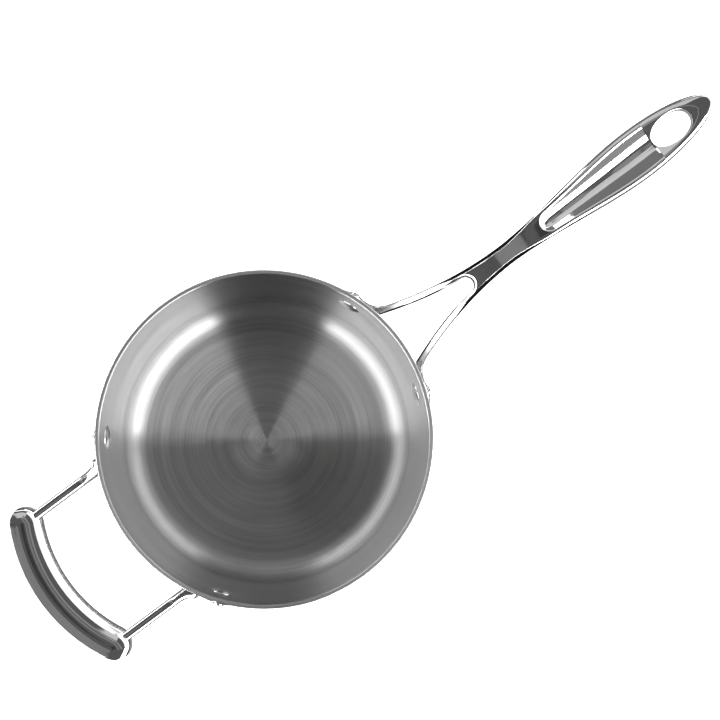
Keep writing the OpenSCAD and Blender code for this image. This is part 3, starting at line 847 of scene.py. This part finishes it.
build("forked_handle", casting(), handle_finish, "long_handle")
for side, word in SIDES:
    at_rivet = side * HANDLE_RIVET_ANGLE
    at_leg = side * HANDLE_LEG_ANGLE
    build(f"handle_ear_{word}", ear(at_rivet, at_leg), handle_finish, "long_handle")
    build(f"handle_rivet_{word}", rivet(at_rivet), rivet_finish, f"rivet_handle_{word}")

helper_leg_angle = math.asin(LEG_SPAN / 2 / wall_r(RIVET_Z, WALL_T + EAR_T))
build("helper_grip", helper_grip(), handle_finish, "helper_handle")
for side, word in SIDES:
    at_rivet = math.pi + HELPER_TURN - side * HELPER_RIVET_ANGLE
    at_leg = math.pi + HELPER_TURN - side * helper_leg_angle
    build(f"helper_leg_{word}", helper_leg(side), handle_finish, "helper_handle")
    build(f"helper_ear_{word}", ear(at_rivet, at_leg), handle_finish, "helper_handle")
    build(f"helper_rivet_{word}", rivet(at_rivet), rivet_finish, f"rivet_helper_{word}")

# The table lights the scene from below, but the polish mirrors the cards under it instead
table = disc("pale_table", TABLE_R, (0, 0, 0), True, flat_finish("pale_paper", TABLE_TONE, 1))
table.visible_glossy = False

# The tent's sheets: name, azimuths and leans in degrees, and glow
for sheet in (
    ("soft_box_low_left", (183, 241), (40, 62), 6.9),
    ("bright_edge_left", (183, 241), (62, 69), 15),
    ("soft_box_low_right", (292, 358), (40, 62), 9.2),
    ("bright_edge_right", (292, 358), (62, 69), 15),
    ("tent_low_left", (183, 241), (69, 80), 0.9),
    ("tent_right", (-3, 60), (60, 66), 8),
    ("tent_right_foot", (-3, 60), (66, 80), 3.2),
    ("tent_right_top", (2, 66), (42, 59), 1.4),
    ("tent_back", (60, 113), (60, 66), 2.6),
    ("tent_back_foot", (60, 85), (66, 80), 1.9),
    ("tent_back_top", (62, 113), (20, 45), 0.5),
    ("tent_left", (113, 182), (60, 66), 11),
    ("tent_left_foot", (113, 182), (66, 80), 3.5),
):
    lit_cloth(*sheet)

# The dark front of the camera, and a wider dark card round it
disc("camera_card", 110, (*PLUMB, 1600), False, flat_finish("camera_card_paper", CARD_TONE, 0.02))
disc("dark_card", 200, (*PLUMB, 1610), False, flat_finish("dark_card_paper", CARD_TONE, 0.1))

# Cards that the handles mirror, over them, beside them, and under the table for what leans past level:
# name, x, y and z from and to, and glow
for sheet in (
    ("card_beside_grip", (225, 395), (150, 365), (300, 300), 0.8),
    ("card_over_grip", (370, 530), (-500, 500), (1420, 1420), 0.3),
    ("low_card_left_of_grip", (250, 395), (150, 150), (125, 212), 0.2),
    ("low_card_right_of_grip", (232, 380), (-152, -152), (130, 189), 0.36),
    ("card_over_neck_end", (-200, -70), (-120, 120), (1612, 1612), 0.03),
    ("card_over_neck", (-760, -210), (12, 330), (1680, 1680), 0.08),
    ("card_over_helper", (-520, -335), (-260, 200), (1679, 1679), 0.25),
    ("card_over_helper_top", (-335, -205), (-60, 115), (1679, 1679), 0.25),
    ("card_over_helper_side", (215, 370), (-400, 400), (1679, 1679), 0.24),
    ("pale_card_under_grip", (240, 700), (-500, 500), (-5, -5), 0.4),
    ("grey_card_under_pan", (-450, 130), (-450, 450), (-8, -8), 0.45),
    ("black_card_under_neck_left", (130, 240), (30, 800), (-5, -5), 0),
    ("black_card_under_neck_right", (130, 240), (-800, -30), (-5, -5), 0),
):
    card(*sheet)

world = bpy.data.worlds.new("studio_air")
bpy.context.scene.world = world
world.use_nodes = True
world.node_tree.nodes["Background"].inputs["Color"].default_value = (1, 1, 1, 1)
world.node_tree.nodes["Background"].inputs["Strength"].default_value = AIR_GLOW

# The camera looks straight down, and its shifted lens puts the plumb point where the picture has it
camera_data = bpy.data.cameras.new("camera_over_pan")
camera = bpy.data.objects.new("camera_over_pan", camera_data)
bpy.context.scene.collection.objects.link(camera)
bpy.context.scene.camera = camera
camera_data.sensor_width = 36
camera_data.lens = camera_data.sensor_width * CAMERA_OVER_RIM / (MM_PER_PIXEL * PICTURE)
camera_data.shift_x = (PICTURE / 2 - PLUMB_PIXEL[0]) / PICTURE
camera_data.shift_y = (PLUMB_PIXEL[1] - PICTURE / 2) / PICTURE
right_of_rim = (PLUMB_PIXEL[0] - RIM_CENTRE_PIXEL[0]) * MM_PER_PIXEL
below_rim = (PLUMB_PIXEL[1] - RIM_CENTRE_PIXEL[1]) * MM_PER_PIXEL
camera_spot = spun(np.array([right_of_rim, -below_rim, RIM_Z + CAMERA_OVER_RIM]), -HANDLE_LIE)
camera.location = [float(v) * MM for v in camera_spot]
camera.rotation_euler = (0, 0, -HANDLE_LIE)
bpy.context.scene.view_settings.view_transform = "Standard"
